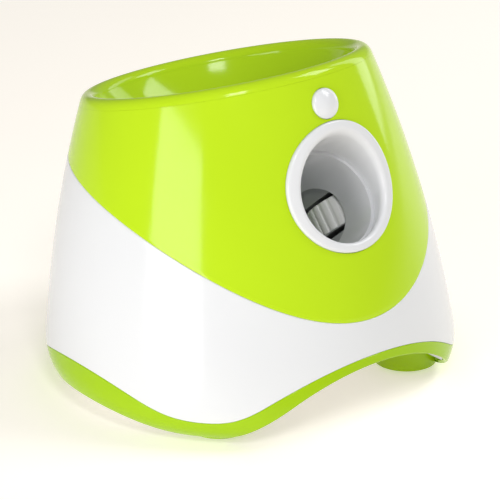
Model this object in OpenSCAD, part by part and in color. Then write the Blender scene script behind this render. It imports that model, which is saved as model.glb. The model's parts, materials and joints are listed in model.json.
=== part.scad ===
// Automatic ball launcher for small dogs.
// The front of the body, with the launch port, faces -Y, and +Z is up.
// The origin lies on the floor under the middle of the body's outline. All sizes are in millimetres.

/* [Body] */
// Radius of the body's wall, carried down to the floor
base_r = 111.4; // [108:0.2:120]
// Radius of the body at the middle of the rim
rim_r = 74.2; // [72:0.2:82]
// Height of the rim on the upright through the origin
rim_h = 165; // [158:0.5:172]
// Radius of the long bow of the wall, seen from the side
side_bow = 650; // [560:5:800]
// Depth of the body over its width
depth_ratio = 0.96; // [0.92:0.01:1]
// How far the body leans back for each millimetre of height
lean_slope = 0.1; // [0.07:0.001:0.12]
// Height at which the leaning wall stands evenly over the origin
lean_base = 34.6; // [25:0.1:45]
// Tilt of the rim, high at the front
rim_tilt = 15.6; // [12:0.1:18]
// Rounding under the body's foot
foot_round = 20; // [14:0.5:24]
// Wall of the moulded shells
wall = 2.6; // [2:0.1:3]

/* [Seam and base band] */
// Radius of the curved seam between lime and white
seam_r = 249; // [235:1:265]
// How far back the middle of the seam's circle lies
seam_y = 65; // [58:1:72]
// Drop from the rim to the seam at its highest
seam_drop = 47.2; // [44:0.2:52]
// Top edge of the base band at the feet
band_top = 14; // [13:0.5:18]
// Top edge of the base band over the front arch
band_front = 39.2; // [36:0.1:42]
// Top edge of the base band over the side arches
band_side = 28.5; // [26:0.5:34]
// Height of the front arch's opening
arch_front = 33; // [30:0.5:35]
// Radius of the front arch's opening
arch_r = 119; // [112:1:126]
// Height of the side arches
arch_side = 13.5; // [10:0.5:13.8]
// Gap left in the seams between the shells
seam_gap = 0.1; // [0:0.05:0.2]
// How far the middle of a foot lies inside the wall
foot_inset = 28.4; // [27:0.1:30]
// Radius of a rubber foot
pad_r = 8; // [7:0.5:9]

/* [Hopper] */
// Radius of the rounded lip
lip_r = 5; // [4:0.1:6]
// Wall of the hopper
hopper_wall = 2.2; // [1.8:0.1:3]
// Radius where the hopper's wall meets its sloping floor
floor_r = 56; // [50:0.5:60]
// Depth of the hopper's wall below the lip
wall_drop = 20; // [16:0.5:24]
// Depth of the sloping floor
floor_drop = 15; // [12:0.5:18]
// Radius of the spout
spout_r = 28; // [27.5:0.1:29]

/* [Launch barrel] */
// Radius of the ball that the launcher takes
ball_r = 25; // [24:0.1:25]
// Tilt of the barrel above the level
barrel_tilt = 40; // [37:0.5:42]
// Play round the ball in the barrel
ball_play = 0.5; // [0.4:0.1:1]
// Wall of the barrel
barrel_wall = 2.5; // [2:0.1:3]
// Height of the middle of the port on the front wall
port_z = 123; // [120:0.5:128]
// Tilt of the port's face
port_tilt = 22; // [20:0.5:25]
// Outer radius of the port's flange
port_r = 33.4; // [32:0.1:35]
// How far the flange stands out from the wall
port_proud = 1.8; // [1:0.1:2.5]
// Depth from the port to the lip of the barrel
port_depth = 20; // [18:0.5:23]

/* [Launch wheels] */
// Radius of a launch wheel over its tread
wheel_r = 24; // [22:0.2:25]
// Width of the tread
tread_w = 16; // [12:0.5:17]
// Thickness of the tread
tread_t = 3; // [2:0.2:4]
// Gap between the two treads, where the ball is squeezed
nip = 44; // [42:0.2:46]
// Play between a wheel and its housing
wheel_play = 1.5; // [1:0.1:2]
// Gap beside the tread in the housing's slot
slot_gap = 2.5; // [1.5:0.1:3]
// Distance from the waiting ball to the wheels, along the barrel
feed_run = 32; // [30:0.5:34]
// Radius of a launch motor
motor_r = 12; // [10:0.5:13]
// Length of a launch motor
motor_l = 26; // [22:1:28]
// Radius of a motor's shaft
shaft_r = 1.5; // [1:0.1:2]
// How far a motor's shaft runs into its can
shaft_in = 12; // [10:0.5:13]
// Wall of a housing beside the slot
housing_wall = 9; // [8:0.5:10]

/* [Button] */
// Height of the button over the port
button_rise = 39.4; // [38:0.2:42]
// Radius of the button
button_r = 7.8; // [7:0.1:8.5]
// Travel of the button
button_travel = 1; // [0.6:0.1:1.1]

/* [Power] */
// Radius of a battery cell
cell_r = 13.1; // [12:0.1:13.2]
// Length of a battery cell
cell_l = 50; // [46:0.5:50]
// Underside of the floor of the body
tray_z = 14; // [14:0.5:16]
// Thickness of the floor of the body
tray_t = 3; // [2:0.2:4]
// Drop from the seam to the switch and the power inlet on the rear wall
panel_drop = 21.8; // [20:0.1:24]
// Travel of the battery door
door_travel = 18; // [10:1:22]
// Width of the rear panel
panel_w = 64; // [60:1:70]
// Height of the rear panel
panel_h = 24; // [22:0.5:26]
// Length of the rocker switch's frame
rocker_l = 19.6; // [18:0.2:20]
// Width of the rocker switch's frame
rocker_w = 13.6; // [13:0.2:14]
// Length of the main board
board_l = 72; // [66:1:76]
// Width of the main board
board_w = 40; // [36:1:44]
// Thickness of the main board
board_t = 1.6; // [1:0.1:2]
// Radius of the speaker
speaker_r = 18; // [16:0.5:19]
// Height of the speaker
speaker_h = 11.8; // [10:0.1:13]

/* [Hidden] */
$fn = 96;

lime = "#B9DC1E";
white = "#F2F2F0";
grey = "#C9CBCC";
dark = "#2B2C2E";
big = 400;
gap = 0.2;

// The wall of the body is an arc through its radius at the floor and at the rim.
arc_chord = norm([base_r - rim_r, rim_h]);
arc_back = sqrt(side_bow * side_bow - arc_chord * arc_chord / 4);
arc_x = (base_r + rim_r) / 2 - arc_back * rim_h / arc_chord;
arc_z = rim_h / 2 - arc_back * (base_r - rim_r) / arc_chord;
function side_r(z) = arc_x + sqrt(pow(side_bow, 2) - pow(z - arc_z, 2));
function lean_y(z) = lean_slope * (z - lean_base);
function front_y(z) = lean_y(z) - depth_ratio * side_r(z);
function rear_y(z) = lean_y(z) + depth_ratio * side_r(z);
function r_at(z, inset) = z < round_z
    ? round_x + sqrt(pow(foot_round - inset, 2) - pow(foot_round - z, 2))
    : arc_x + sqrt(pow(side_bow - inset, 2) - pow(z - arc_z, 2));
function on_skin(a, z, inset) =
    [r_at(z, inset) * sin(a), lean_y(z) - depth_ratio * r_at(z, inset) * cos(a), z];
round_x = arc_x + sqrt(pow(side_bow - foot_round, 2) - pow(foot_round - arc_z, 2));
round_z = arc_z + side_bow * (foot_round - arc_z) / (side_bow - foot_round);

// The lip of the hopper sits on a tilted plane just under the top of the rim.
seat_h = rim_h - lip_r / cos(rim_tilt);
function crest(way, z, n) =
    n == 0 ? z : crest(way, seat_h - tan(rim_tilt) * (way < 0 ? front_y(z) : rear_y(z)), n - 1);
seat_front_z = crest(-1, seat_h, 6);
seat_rear_z = crest(1, seat_h, 6);
seat_front = [front_y(seat_front_z), seat_front_z];
seat_rear = [rear_y(seat_rear_z), seat_rear_z];
seat_mid = (seat_front + seat_rear) / 2;
seat_half = norm(seat_rear - seat_front) / 2;
lip_x = side_r(seat_mid[1]) - lip_r;
lip_ratio = (seat_half - lip_r) / lip_x;

// Each edge of a shell is a height over a place in plan, and settles where it meets the wall.
band_arch_r = 135;
band_side_r = 117;
arch_side_r = 180;
side_mid_y = 5;
function arc_over(top, r, u) = top - r + sqrt(max(r * r - u * u, 0));
function blend(v, k) = k * ln([for (i = v) exp(i / k)] * [for (i = v) 1]);
seam_top = rim_h - seam_drop;
seam_edge = function(p) seam_top - seam_r + sqrt(pow(seam_r, 2) - pow(p[1] - seam_y, 2));
seat_edge = function(p) seat_h - tan(rim_tilt) * p[1];
band_edge = function(p) blend([band_top,
    arc_over(p[1] < 0 ? band_front : band_side, p[1] < 0 ? band_arch_r : band_side_r, p[0]),
    arc_over(band_side, band_side_r, p[1] - side_mid_y)], 3);
low_edge = function(p) max(wall + 0.1, blend([1.5,
    arc_over(p[1] < 0 ? arch_front : arch_side, p[1] < 0 ? arch_r : arch_side_r, p[0]),
    arc_over(arch_side, arch_side_r, p[1] - side_mid_y)], 2));
function settle(edge, a, z, inset, n) =
    n == 0 ? z : settle(edge, a, edge(on_skin(a, z, inset)), inset, n - 1);
skin_steps = 96;
function edge_rows(edge, z, shift) = [for (inset = [0, wall])
    [for (i = [0:skin_steps - 1]) settle(edge, 360 * i / skin_steps, z, inset, 14) + shift]];

// The barrel runs from the port down and back to the waiting ball under the hopper.
port_c = [0, front_y(port_z) - port_proud * cos(port_tilt), port_z + port_proud * sin(port_tilt)];
bore_r = ball_r + ball_play;
barrel_r = bore_r + barrel_wall;
mouth_r = bore_r + 0.3;
cross = cos(barrel_tilt) * cos(rim_tilt) + sin(barrel_tilt) * sin(rim_tilt);
to_seat = [seat_mid[0] - port_c[1], seat_mid[1] - port_c[2]];
rest_s = (to_seat[0] * cos(rim_tilt) - to_seat[1] * sin(rim_tilt)) / cross;
rest_drop = (to_seat[0] * sin(barrel_tilt) + to_seat[1] * cos(barrel_tilt)) / cross;
wheel_s = rest_s - feed_run;
wheel_x = nip / 2 + wheel_r;
rest_y = port_c[1] + rest_s * cos(barrel_tilt);
rest_z = port_c[2] - rest_s * sin(barrel_tilt);
rest_r = bore_r + 0.4;
chimney_top = 36;
slot_half = tread_w / 2 + slot_gap;
housing_half = slot_half + housing_wall;
housing_r = wheel_r + wheel_play + 3;

// The button sinks by its travel, with its switch on a small board behind it.
button_z = port_z + button_rise;
cap_skirt = 2.2;
board_drop = 5.6;

// The arm that pushes the waiting ball turns on the shaft of a geared motor.
arm_s = rest_s + ball_r + 5;
arm_low = 20;
arm_l = 24;
arm_w = 6;
leg_in = 18;
leg_out = 21;
feed_motor_r = 10;
feed_motor_l = 26;

// The battery box stands on the floor behind the barrel.
cell_pitch = 2 * cell_r + 0.8;
box_wall = 2;
box_x = 1.5 * cell_pitch + 0.2;
contact_t = 2;
box_len = cell_l + 2 * contact_t + 1;
floor_top = tray_z + tray_t;
box_top = tray_z + 2 * cell_pitch + 0.6;
box_y = rest_y + (barrel_r + (box_top + box_wall - rest_z) * sin(rim_tilt)) / cos(rim_tilt)
    + box_wall + 2.4;
door_t = 2;
door_play = 0.2;
rail_x = box_x + 3;
panel_z = seam_top - panel_drop;
speaker_x = box_x + 30;
speaker_y = 22;

// Feet stand at four corners, and the screws lie just inside them.
foot_a = 50;
foot_ring = base_r - foot_inset;
boss_r = pad_r + 8.5;
boss_z = 2;
pad_t = 4;
web_t = 8;
screw_off = 8.8;
vault_x = 62;
vault_y = -28;
vault_top = arch_front + 5;
foot_xy = [for (k = [[1, -1], [-1, -1], [1, 1], [-1, 1]])
    [k[0] * foot_ring * sin(foot_a), lean_y(foot_round) + k[1] * foot_ring * cos(foot_a) * depth_ratio]];

module lean() {
    multmatrix([[1, 0, 0, 0], [0, depth_ratio, lean_slope, lean_y(0)], [0, 0, 1, 0], [0, 0, 0, 1]])
        children();
}

module wall_profile(inset) {
    intersection() {
        translate([arc_x, arc_z]) circle(side_bow - inset, $fn = 360);
        union() {
            translate([0, round_z]) square([big, big]);
            translate([0, inset]) square([round_x, round_z]);
            translate([round_x, foot_round]) circle(foot_round - inset);
        }
        square([big, 210]);
    }
}

// The body as a solid, drawn in from its outer face by a given inset.
module body_form(inset) {
    lean() rotate_extrude() wall_profile(inset);
}

module at_seat() {
    translate([0, seat_mid[0], seat_mid[1]]) rotate([-rim_tilt, 0, 0]) children();
}

// Brings something from the body's frame into the frame of the seat.
module to_seat_frame() {
    rotate([rim_tilt, 0, 0]) translate([0, -seat_mid[0], -seat_mid[1]]) children();
}

module at_port() {
    translate(port_c) rotate([90 - port_tilt, 0, 0]) children();
}

// Runs down the barrel: +Z goes in from the port, and -Y is the upper side.
module in_barrel(s) {
    translate(port_c) rotate([-90 - barrel_tilt, 0, 0]) translate([0, 0, s]) children();
}

// Stands on a wheel's axle, with +Z up along it.
module on_axle(side) {
    in_barrel(wheel_s) translate([side * wheel_x, 0, 0]) rotate([90, 0, 0]) children();
}

module at_button() {
    tilt = port_tilt + 0.5;
    translate([0, front_y(button_z), button_z]) rotate([90 - tilt, 0, 0]) children();
}

// A closed patch of the wall between two edges. Each edge is two lists of heights round the body,
// one for the outer face and one for the inner.
module skin_patch(low, high, rows, ease) {
    n = skin_steps;
    side = (rows + 1) * n;
    points = [for (k = [0, 1]) for (j = [0:rows]) for (i = [0:n - 1])
        on_skin(360 * i / n, low[k][i] + (high[k][i] - low[k][i]) * pow(j / rows, ease), k * wall)];
    function at(j, i) = j * n + i % n;
    function two(a, b, c, d) = [[a, b, c], [a, c, d]];
    outer = [for (j = [0:rows - 1]) for (i = [0:n - 1])
        each two(at(j, i), at(j + 1, i), at(j + 1, i + 1), at(j, i + 1))];
    inner = [for (f = outer) [side + f[0], side + f[2], side + f[1]]];
    ends = [for (i = [0:n - 1]) each concat(
        two(at(0, i), at(0, i + 1), side + at(0, i + 1), side + at(0, i)),
        two(at(rows, i), side + at(rows, i), side + at(rows, i + 1), at(rows, i + 1)))];
    polyhedron(points, concat(outer, inner, ends));
}

module upper_shell() {
    color(lime)
        difference() {
            skin_patch(edge_rows(seam_edge, rim_h / 2, 0), edge_rows(seat_edge, rim_h, -seam_gap / 2), 6, 1);
            at_port() translate([0, 0, -30]) cylinder(h = 60, r = port_r + gap);
            at_button() translate([0, 0, -10]) cylinder(h = 20, r = button_r + gap);
        }
}

module hopper() {
    low = wall_drop + floor_drop;
    color(lime)
        at_seat() {
            difference() {
                scale([1, lip_ratio, 1]) rotate_extrude()
                    difference() {
                        union() {
                            translate([lip_x, 0]) circle(lip_r);
                            polygon([[lip_x - lip_r, 0], [floor_r, -wall_drop],
                                [spout_r + 3, -low], [spout_r - 2, -low],
                                [spout_r - 2, -low - hopper_wall],
                                [spout_r + 4, -low - hopper_wall],
                                [floor_r + 1, -wall_drop - hopper_wall],
                                [lip_x - lip_r + 3, -1.5], [lip_x, 0]]);
                        }
                        translate([lip_x - 1, -lip_r]) square([big, lip_r]);
                    }
                translate([0, 0, -low - 5]) cylinder(h = 10, r = spout_r);
                to_seat_frame() at_button() translate([0, 0, -6.8]) cylinder(h = 9, r = button_r + 1.5);
            }
        }
}

module hopper_spout() {
    spout_l = rest_drop - chimney_top - wall_drop - floor_drop - hopper_wall;
    color(lime)
        difference() {
            at_seat() translate([0, 0, chimney_top - rest_drop])
                difference() {
                    cylinder(h = spout_l, r = spout_r + hopper_wall);
                    translate([0, 0, -1]) cylinder(h = spout_l + 2, r = spout_r);
                }
            in_barrel(0) cylinder(h = rest_s, r = barrel_r + gap);
        }
}

module rear_window(play) {
    translate([-panel_w / 2 - play, rear_y(panel_z) / 2, panel_z - panel_h / 2 - play])
        cube([panel_w + 2 * play, rear_y(panel_z), panel_h + 2 * play]);
}

module lower_shell() {
    low = edge_rows(band_edge, band_side, seam_gap);
    high = edge_rows(seam_edge, rim_h / 2, -seam_gap);
    color(white)
        difference() {
            skin_patch(low, high, 7, 1.6);
            rear_window(gap);
        }
}

module base_band() {
    color(lime)
        difference() {
            union() {
                skin_patch(edge_rows(low_edge, arch_side, 0), edge_rows(band_edge, band_side, 0), 6, 1.5);
                for (p = foot_xy) translate([p[0], p[1], boss_z]) cylinder(h = tray_z - boss_z, r = boss_r);
                for (p = foot_xy) foot_web(p);
            }
            for (p = foot_xy) translate([p[0], p[1], -1]) cylinder(h = pad_t + 1, r = pad_r);
            for (p = foot_xy) screw_cut(p);
        }
}

// A web that ties the boss of a foot to the wall.
module foot_web(p) {
    intersection() {
        body_form(wall / 2);
        translate([p[0], p[1], pad_t]) rotate(atan2(p[1], p[0])) translate([0, -web_t / 2, 0])
            cube([2 * foot_inset, web_t, tray_z - pad_t]);
    }
}

function screw_xy(p) = [p[0] + sign(p[0]) * screw_off, p[1] - sign(p[1]) * screw_off];

module screw_cut(p) {
    translate(concat(screw_xy(p), -1)) cylinder(h = boss_z + 3, r = 3);
    translate(concat(screw_xy(p), 0)) cylinder(h = tray_z + 1, r = 1.6);
}

module foot(k) {
    color(dark) translate(foot_xy[k]) cylinder(h = pad_t, r = pad_r);
}
module foot_1() foot(0);
module foot_2() foot(1);
module foot_3() foot(2);
module foot_4() foot(3);

module screw(k) {
    color(grey) translate(concat(screw_xy(foot_xy[k]), 0)) {
        difference() {
            translate([0, 0, boss_z]) cylinder(h = 2, r = 2.7);
            translate([0, 0, boss_z - 0.5]) rotate(45) translate([-1.8, -0.4, 0]) cube([3.6, 0.8, 1]);
            translate([0, 0, boss_z - 0.5]) rotate(-45) translate([-1.8, -0.4, 0]) cube([3.6, 0.8, 1]);
        }
        translate([0, 0, boss_z + 1.9]) cylinder(h = floor_top - boss_z - 2, r = 1.5);
    }
}
module screw_1() screw(0);
module screw_2() screw(1);
module screw_3() screw(2);
module screw_4() screw(3);

module base_tray() {
    color(white)
        difference() {
            intersection() {
                body_form(wall + gap);
                union() {
                    door_rails();
                    difference() {
                        translate([-big / 2, -big / 2, tray_z]) cube([big, big, tray_t]);
                        translate([-vault_x, -big / 2, 0]) cube([2 * vault_x, big / 2 + vault_y, big]);
                    }
                    difference() {
                        translate([-vault_x, -big / 2, tray_z])
                            cube([2 * vault_x, big / 2 + vault_y, vault_top + tray_t - tray_z]);
                        translate([tray_t - vault_x, -big / 2 - 1, tray_z - 1])
                            cube([2 * (vault_x - tray_t), big / 2 + vault_y - tray_t + 1,
                                vault_top - tray_z + 1]);
                    }
                }
            }
            translate([-box_x, box_y, 0]) cube([2 * box_x, box_len, 40]);
            for (p = foot_xy) translate(concat(screw_xy(p), 0)) cylinder(h = 40, r = 1.5);
            for (a = [0:60:300])
                translate([speaker_x, speaker_y, 0]) rotate(a) translate([8, 0, 0])
                    cylinder(h = 40, r = 1.8);
        }
}

module port_ring() {
    color(white)
        difference() {
            union() {
                difference() {
                    intersection() {
                        body_form(-port_proud);
                        at_port() translate([0, 0, -30]) cylinder(h = 60, r = port_r);
                    }
                    body_form(5);
                }
                intersection() {
                    body_form(-port_proud + 0.5);
                    in_barrel(-20) cylinder(h = port_depth + 20, r = barrel_r);
                }
            }
            in_barrel(-40) cylinder(h = 80, r = mouth_r);
        }
}

module leg_plate(x0) {
    translate([x0, -24, floor_top]) cube([leg_out - leg_in, 38, 45]);
}

module at_rest() {
    in_barrel(rest_s) rotate([barrel_tilt + 90 - rim_tilt, 0, 0]) children();
}

module barrel() {
    color(white)
        difference() {
            union() {
                in_barrel(port_depth) cylinder(h = rest_s - port_depth, r = barrel_r);
                at_rest() sphere(rest_r + barrel_wall);
                at_rest() cylinder(h = chimney_top, r = barrel_r);
                leg_plate(leg_in);
                leg_plate(-leg_out);
            }
            in_barrel(port_depth - 1) cylinder(h = rest_s - port_depth + 1, r = bore_r);
            at_rest() sphere(rest_r);
            at_rest() cylinder(h = chimney_top + 15, r = bore_r);
            at_rest() translate([0, 0, chimney_top - 3]) cylinder(h = 4, r1 = bore_r, r2 = spout_r - 0.3);
            for (side = [-1, 1])
                on_axle(side)
                    cylinder(h = 2 * housing_half - 1, r = housing_r - 1.5, center = true);
            in_barrel(rest_s + 5) translate([-arm_w / 2 - 1, -8, 0]) cube([arm_w + 2, 50, 40]);
            arm_axis() cylinder(h = 100, r = 3.2, center = true);
            for (side = [-1, 1]) sensor_hole(side, 2.5);
        }
}

module sensor_hole(side, r) {
    in_barrel(rest_s) rotate([0, side * 90, 0]) translate([0, 0, bore_r - 3])
        cylinder(h = 12, r = r);
}

module ball_sensor(side) {
    color(dark)
        in_barrel(rest_s) rotate([0, side * 90, 0]) {
            translate([0, 0, bore_r + 0.2]) cylinder(h = 6, r = 2.45);
            translate([0, 0, rest_r + barrel_wall + 0.1]) cylinder(h = 4, r = 4);
        }
}
module ball_sensor_left() ball_sensor(-1);
module ball_sensor_right() ball_sensor(1);

module wheel_housing(side) {
    color(grey)
        difference() {
            on_axle(side)
                difference() {
                    cylinder(h = 2 * housing_half, r = housing_r, center = true);
                    cylinder(h = 2 * slot_half, r = wheel_r + wheel_play, center = true);
                    translate([0, 0, -housing_half - 1]) cylinder(h = 20, r = 4);
                }
            in_barrel(0) cylinder(h = 160, r = barrel_r);
            at_rest() cylinder(h = 80, r = barrel_r + gap);
        }
}
module wheel_housing_left() wheel_housing(-1);
module wheel_housing_right() wheel_housing(1);

module wheel_hub(side) {
    color(grey)
        on_axle(side)
            difference() {
                cylinder(h = tread_w - 2, r = wheel_r - tread_t, center = true);
                translate([0, 0, 2]) difference() {
                    cylinder(h = tread_w, r = wheel_r - tread_t - 3);
                    cylinder(h = tread_w, r = 5, center = true);
                }
                cylinder(h = tread_w, r = shaft_r, center = true);
            }
}
module wheel_hub_left() wheel_hub(-1);
module wheel_hub_right() wheel_hub(1);

module wheel_tread(side) {
    color(white)
        on_axle(side)
            difference() {
                cylinder(h = tread_w, r = wheel_r, center = true);
                cylinder(h = tread_w + 2, r = wheel_r - tread_t, center = true);
                for (a = [0:15:345])
                    rotate(a) translate([wheel_r + 0.6, 0, 0])
                        cylinder(h = tread_w + 2, r = 1.2, center = true, $fn = 24);
            }
}
module wheel_tread_left() wheel_tread(-1);
module wheel_tread_right() wheel_tread(1);

module wheel_shaft(side) {
    color(grey)
        on_axle(side) translate([0, 0, -housing_half - shaft_in])
            cylinder(h = housing_half + shaft_in + tread_w / 2, r = shaft_r);
}
module wheel_shaft_left() wheel_shaft(-1);
module wheel_shaft_right() wheel_shaft(1);

module motor(side) {
    color(grey)
        on_axle(side) translate([0, 0, -housing_half - motor_l])
            difference() {
                union() {
                    cylinder(h = motor_l, r = motor_r);
                    translate([0, 0, motor_l - 1]) cylinder(h = 3, r = 3.8);
                    translate([0, 0, -2]) cylinder(h = 3, r = 4);
                }
                translate([0, 0, motor_l - shaft_in - 2]) cylinder(h = 30, r = shaft_r + 0.05);
            }
}
module motor_left() motor(-1);
module motor_right() motor(1);

module arm_axis() {
    in_barrel(arm_s) translate([0, arm_low, 0]) rotate([0, 90, 0]) children();
}

module feed_arm() {
    color(dark) {
        arm_axis() translate([0, 0, -arm_w / 2]) cylinder(h = leg_out + 8 + arm_w / 2, r = 3);
        in_barrel(arm_s) translate([-arm_w / 2, arm_low - arm_l, -2]) cube([arm_w, arm_l, 4]);
        arm_axis() translate([0, 0, -arm_w / 2]) cylinder(h = arm_w, r = 6);
        in_barrel(arm_s) translate([0, arm_low - arm_l, 0]) rotate([0, 90, 0])
            cylinder(h = arm_w, r = 3, center = true);
    }
}

module feed_motor() {
    color(grey)
        arm_axis()
            difference() {
                translate([0, 0, leg_out]) cylinder(h = feed_motor_l, r = feed_motor_r);
                translate([0, 0, leg_out - 1]) cylinder(h = 10, r = 3.05);
            }
}

module button_cap() {
    color(white)
        at_button() {
            intersection() {
                translate([0, 0, -10.5]) sphere(14);
                translate([0, 0, -1]) cylinder(h = 10, r = button_r);
            }
            translate([0, 0, -cap_skirt]) cylinder(h = 2, r = button_r);
        }
}

module button_guide() {
    color(dark)
        at_button() translate([0, 0, -board_drop])
            difference() {
                cylinder(h = board_drop - 3.4, r = button_r + 1.2);
                translate([0, 0, -1]) cylinder(h = 7, r = button_r + 0.1);
            }
}

module button_switch() {
    color(dark)
        at_button() translate([-3, -3, -board_drop])
            cube([6, 6, board_drop - cap_skirt - button_travel - 0.1]);
}

module button_board() {
    color("#2E7D4F")
        at_button() translate([0, 0, -board_drop - 1]) cylinder(h = 1, r = button_r + 1.2);
}

module rear_panel() {
    color(grey)
        difference() {
            intersection() {
                body_form(0);
                rear_window(0);
            }
            translate([-big / 2, 0, 0]) cube([big, rear_y(panel_z) - 10, big]);
            panel_place(-14) translate([-rocker_l / 2 - 0.2, -rocker_w / 2 - 0.2, -4])
                cube([rocker_l + 0.4, rocker_w + 0.4, 20]);
            panel_place(-14) translate([-7, -5, -20]) cube([14, 10, 40]);
            panel_place(16) translate([0, 0, -4]) cylinder(h = 20, r = 7);
            panel_place(16) translate([0, 0, -20]) cylinder(h = 40, r = 5.5);
        }
}

// Stands on the rear panel, with +Z out of the body.
module panel_place(x) {
    translate([x, rear_y(panel_z), panel_z]) rotate([-90, 0, 0]) children();
}

module rocker_frame() {
    color(dark)
        panel_place(-14) difference() {
            union() {
                translate([-rocker_l / 2, -rocker_w / 2, -4]) cube([rocker_l, rocker_w, 1.8]);
                translate([-6.9, -4.9, -18]) cube([13.8, 9.8, 14]);
            }
            translate([-5.6, -3.9, -13]) cube([11.2, 7.8, 20]);
            translate([0, 0, -7]) rotate([90, 0, 0]) cylinder(h = 12, r = 1, center = true);
        }
}

module rocker() {
    color(dark)
        panel_place(-14) {
            intersection() {
                translate([0, 0, -7]) rotate([90, 0, 0]) cylinder(h = 7.2, r = 5.3, center = true);
                translate([-6, -5, -9]) cube([12, 10, 20]);
            }
            translate([0, 0, -7]) rotate([90, 0, 0]) cylinder(h = 9.6, r = 0.95, center = true);
        }
}

module power_inlet() {
    color(dark)
        panel_place(16) difference() {
            union() {
                translate([0, 0, -4]) cylinder(h = 1.6, r = 6.8);
                translate([0, 0, -18]) cylinder(h = 15, r = 5.4);
            }
            translate([0, 0, -14]) cylinder(h = 20, r = 2.75);
        }
}

module inlet_pin() {
    color("#B9B9B4")
        panel_place(16) translate([0, 0, -14]) cylinder(h = 9, r = 1);
}

module battery_box() {
    color(dark)
        difference() {
            translate([-box_x - box_wall, box_y - box_wall, floor_top])
                cube([2 * (box_x + box_wall), box_len + 2 * box_wall, box_top + box_wall - floor_top]);
            translate([-box_x, box_y, floor_top - 1])
                cube([2 * box_x, box_len, box_top - floor_top + 1]);
        }
}

module cell(k) {
    col = k % 3 - 1;
    row = floor(k / 3);
    color("#3F7F3A")
        translate([col * cell_pitch, box_y + contact_t + 0.5, tray_z + 0.3 + cell_r + row * cell_pitch])
            rotate([-90, 0, 0]) {
                cylinder(h = cell_l - 1.5, r = cell_r);
                translate([0, 0, cell_l - 2]) cylinder(h = 2, r = 3.5);
            }
}
module cell_1() cell(0);
module cell_2() cell(1);
module cell_3() cell(2);
module cell_4() cell(3);
module cell_5() cell(4);
module cell_6() cell(5);

module contact_plate(y) {
    color(grey)
        translate([-box_x + 1, y, floor_top + 1])
            cube([2 * box_x - 2, contact_t, box_top - floor_top - 2]);
}
module contact_front() contact_plate(box_y + 0.1);
module contact_rear() contact_plate(box_y + box_len - contact_t - 0.1);

module battery_door() {
    color(white)
        translate([0, 0, tray_z - door_play - door_t]) {
            translate([door_play - rail_x, box_y - 3, 0])
                cube([2 * (rail_x - door_play), box_len + 6, door_t]);
            for (y = [box_y + 4, box_y + 8, box_y + 12])
                translate([-12, y, -0.8]) cube([24, 2, 1]);
        }
}

module door_rails() {
    for (side = [-1, 1])
        translate([side * (rail_x + 1), box_y - 3 - door_travel, 0]) {
            translate([-1, 0, tray_z - door_t - 3 * door_play - 1.2])
                cube([2, box_len + 6 + door_travel, door_t + 3 * door_play + 1.3]);
            translate([-1 - (side + 1), 0, tray_z - door_t - 3 * door_play - 1.2])
                cube([4, box_len + 6 + door_travel, 1.4]);
        }
}

module board_place() {
    translate([0, box_y + 6, box_top + box_wall]) children();
}
board_xy = [for (y = [4, board_w - 4]) for (x = [-1, 1]) [x * (board_l / 2 - 4), y]];

module main_board() {
    color("#2E7D4F")
        board_place() difference() {
            translate([-board_l / 2, 0, 4]) cube([board_l, board_w, board_t]);
            for (p = board_xy) translate([p[0], p[1], 0]) cylinder(h = 9, r = 1.5);
        }
}

module board_chip() {
    color(dark)
        board_place() translate([-6, board_w / 2 - 6, 4 + board_t]) cube([12, 12, 1.8]);
}

module board_post(k) {
    color(white)
        board_place() translate([board_xy[k][0], board_xy[k][1], 0]) {
            cylinder(h = 4, r = 3);
            cylinder(h = 5 + board_t, r = 1.45);
        }
}
module board_post_1() board_post(0);
module board_post_2() board_post(1);
module board_post_3() board_post(2);
module board_post_4() board_post(3);

module speaker() {
    color(dark)
        translate([speaker_x, speaker_y, floor_top]) {
            cylinder(h = 3, r = speaker_r);
            translate([0, 0, 2.9]) cylinder(h = 5, r1 = speaker_r - 2, r2 = speaker_r / 2);
            translate([0, 0, 7.8]) cylinder(h = speaker_h - 7.8, r = speaker_r / 2);
        }
}

upper_shell();
hopper();
hopper_spout();
lower_shell();
base_band();
foot_1();
foot_2();
foot_3();
foot_4();
base_tray();
port_ring();
barrel();
wheel_housing_left();
wheel_housing_right();
wheel_hub_left();
wheel_hub_right();
wheel_tread_left();
wheel_tread_right();
wheel_shaft_left();
wheel_shaft_right();
motor_left();
motor_right();
feed_motor();
feed_arm();
ball_sensor_left();
ball_sensor_right();
button_cap();
button_guide();
button_switch();
button_board();
rear_panel();
rocker_frame();
rocker();
power_inlet();
inlet_pin();
battery_box();
cell_1();
cell_2();
cell_3();
cell_4();
cell_5();
cell_6();
contact_front();
contact_rear();
battery_door();
main_board();
board_chip();
board_post_1();
board_post_2();
board_post_3();
board_post_4();
speaker();
screw_1();
screw_2();
screw_3();
screw_4();
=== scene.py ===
# %% [markdown]
# # An automatic ball launcher, dressed in Blender
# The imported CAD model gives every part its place. This lesson builds smooth skins over
# the parts that are seen, gives each part a procedural material, and sets the studio.
# Sizes are written in millimetres, as on a drawing, and become metres in the meshes.

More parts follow.
